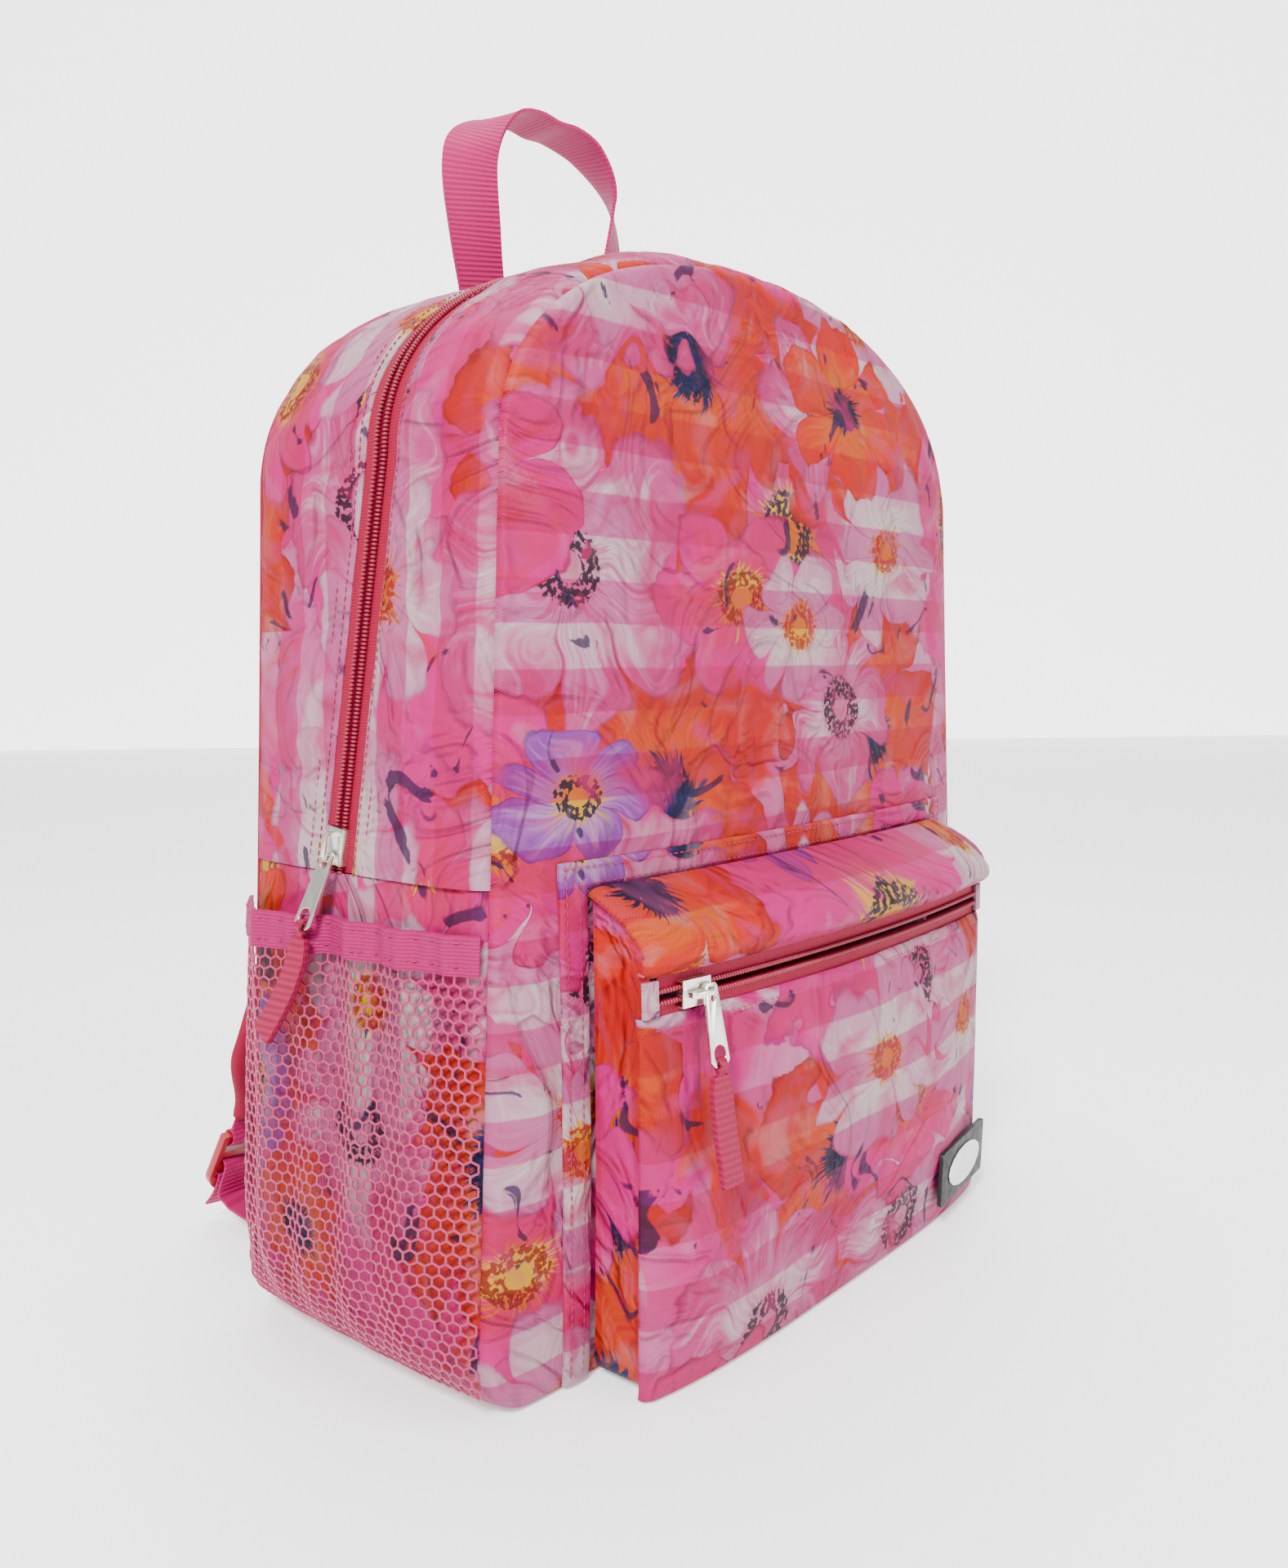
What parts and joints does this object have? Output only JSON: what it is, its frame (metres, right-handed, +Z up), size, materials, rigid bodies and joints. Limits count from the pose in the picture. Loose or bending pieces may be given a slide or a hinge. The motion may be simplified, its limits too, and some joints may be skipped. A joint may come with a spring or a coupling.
{
  "type": "school backpack",
  "caption": "Arched school backpack with a zipped front flap, zipped front pocket, mesh side pockets, haul handle and padded shoulder straps with ladder locks.",
  "frame": {"origin": "middle of the base's underside, on the floor", "axes": "+Z up, the front pocket faces -Y, the straps are on +Y"},
  "size_m": [0.389, 0.2863, 0.5136],
  "materials": {
    "print_cloth": "printed plain-weave polyester, slight sheen",
    "plain_cloth": "plain-weave polyester, matt",
    "webbing": "ribbed polyester webbing",
    "netting": "hexagonal knitted mesh",
    "elastic": "ribbed woven elastic",
    "zip_tape": "knitted zip tape",
    "zip_coil": "nylon coil, satin",
    "foam": "open-cell foam, matt",
    "zip_metal": "nickel-plated zinc alloy, satin",
    "buckle": "moulded acetal, satin",
    "label_rubber": "soft PVC, matt",
    "label_raised": "soft PVC, matt"
  },
  "bodies": {
    "bag": {"front_panel_lower": "print_cloth", "back_panel": "plain_cloth", "back_foam": "foam", "back_lining": "plain_cloth", "rear_band": "print_cloth", "main_zip_tape_rear": "zip_tape", "main_zip_coil_rear": "zip_coil", "rear_seam_binding": "plain_cloth", "side_panel_left": "print_cloth", "side_panel_right": "print_cloth", "main_zip_foot_left": "zip_tape", "main_zip_foot_right": "zip_tape", "bottom_panel": "print_cloth", "mesh_pocket_left": "netting", "mesh_pocket_right": "netting", "pocket_elastic_left": "elastic", "pocket_elastic_right": "elastic", "front_pocket_face": "print_cloth", "front_pocket_top": "print_cloth", "front_pocket_gusset": "print_cloth", "front_pocket_flange": "print_cloth", "front_pocket_tape_lower": "zip_tape", "front_pocket_tape_upper": "zip_tape", "front_pocket_coil_lower": "zip_coil", "front_pocket_coil_upper": "zip_coil", "front_pocket_tab_left": "print_cloth", "front_pocket_tab_right": "print_cloth", "label_patch": "label_rubber", "label_emblem": "label_raised", "strap_yoke": "print_cloth", "strap_webbing_left": "webbing", "strap_anchor_left": "print_cloth", "strap_webbing_right": "webbing", "strap_anchor_right": "print_cloth"},
    "front_flap": {"front_panel_upper": "print_cloth", "front_band": "print_cloth", "main_zip_tape_front": "zip_tape", "main_zip_coil_front": "zip_coil", "front_seam_binding": "plain_cloth"},
    "main_slider": {"main_slider": "zip_metal"},
    "main_puller": {"main_puller": "zip_metal"},
    "main_pull_tape": {"main_pull_tape": "webbing"},
    "pocket_slider": {"front_pocket_slider": "zip_metal"},
    "pocket_puller": {"front_pocket_puller": "zip_metal"},
    "pocket_pull_tape": {"front_pocket_pull_tape": "webbing"},
    "handle": {"haul_handle": "webbing"},
    "strap_left": {"strap_cover_left": "plain_cloth", "strap_foam_left": "foam", "strap_lining_left": "plain_cloth", "strap_loop_left": "webbing"},
    "lock_left": {"ladder_lock_left": "buckle"},
    "strap_right": {"strap_cover_right": "plain_cloth", "strap_foam_right": "foam", "strap_lining_right": "plain_cloth", "strap_loop_right": "webbing"},
    "lock_right": {"ladder_lock_right": "buckle"}
  },
  "joints": [
    {"name": "front_flap_open", "type": "hinge", "parent": "bag", "child": "front_flap", "pos_m": [0, -0.08419, 0.206], "axis": [1, 0, 0], "range_deg": [0, 40]},
    {"name": "main_zip_slide", "type": "slide", "parent": "bag", "child": "main_slider", "axis": [0.0583, -0.143, 0.988], "range_m": [0, 0.118]},
    {"name": "main_puller_swing", "type": "hinge", "parent": "main_slider", "child": "main_puller", "pos_m": [-0.17508, 0.00692, 0.19575], "axis": [0, 0.9897, 0.1432], "range_deg": [0, 120]},
    {"name": "main_pull_tape_swing", "type": "hinge", "parent": "main_puller", "child": "main_pull_tape", "pos_m": [-0.18541, 0.01071, 0.16957], "axis": [0, 0.9897, 0.1432], "range_deg": [0, 70]},
    {"name": "pocket_zip_slide", "type": "hinge", "parent": "bag", "child": "pocket_slider", "pos_m": [0, 0.81825, 0.148], "axis": [0, 0, 1], "range_deg": [0, 12.8]},
    {"name": "pocket_puller_swing", "type": "hinge", "parent": "pocket_slider", "child": "pocket_puller", "pos_m": [-0.10176, -0.11428, 0.148], "axis": [-0.1135, -0.9935, 0], "range_deg": [-20, 60]},
    {"name": "pocket_pull_tape_swing", "type": "hinge", "parent": "pocket_puller", "child": "pocket_pull_tape", "pos_m": [-0.1023, -0.11898, 0.12203], "axis": [-0.9935, 0.1135, 0], "range_deg": [0, 70]},
    {"name": "handle_swing", "type": "hinge", "parent": "bag", "child": "handle", "pos_m": [0, 0.06, 0.428], "axis": [1, 0, 0], "range_deg": [-60, 70]},
    {"name": "strap_left_swing", "type": "hinge", "parent": "bag", "child": "strap_left", "pos_m": [-0.058, 0.077, 0.404], "axis": [1, 0, 0], "range_deg": [0, 4], "deforming": ["strap_webbing_left"]},
    {"name": "lock_left_tilt", "type": "hinge", "parent": "strap_left", "child": "lock_left", "pos_m": [-0.12565, 0.14521, 0.04276], "axis": [0.9913, 0.0553, -0.1194], "range_deg": [0, 35], "deforming": ["strap_webbing_left"]},
    {"name": "strap_right_swing", "type": "hinge", "parent": "bag", "child": "strap_right", "pos_m": [0.058, 0.077, 0.404], "axis": [1, 0, 0], "range_deg": [0, 4], "deforming": ["strap_webbing_right"]},
    {"name": "lock_right_tilt", "type": "hinge", "parent": "strap_right", "child": "lock_right", "pos_m": [0.12565, 0.14521, 0.04276], "axis": [0.9913, -0.0553, 0.1194], "range_deg": [0, 35], "deforming": ["strap_webbing_right"]}
  ]
}
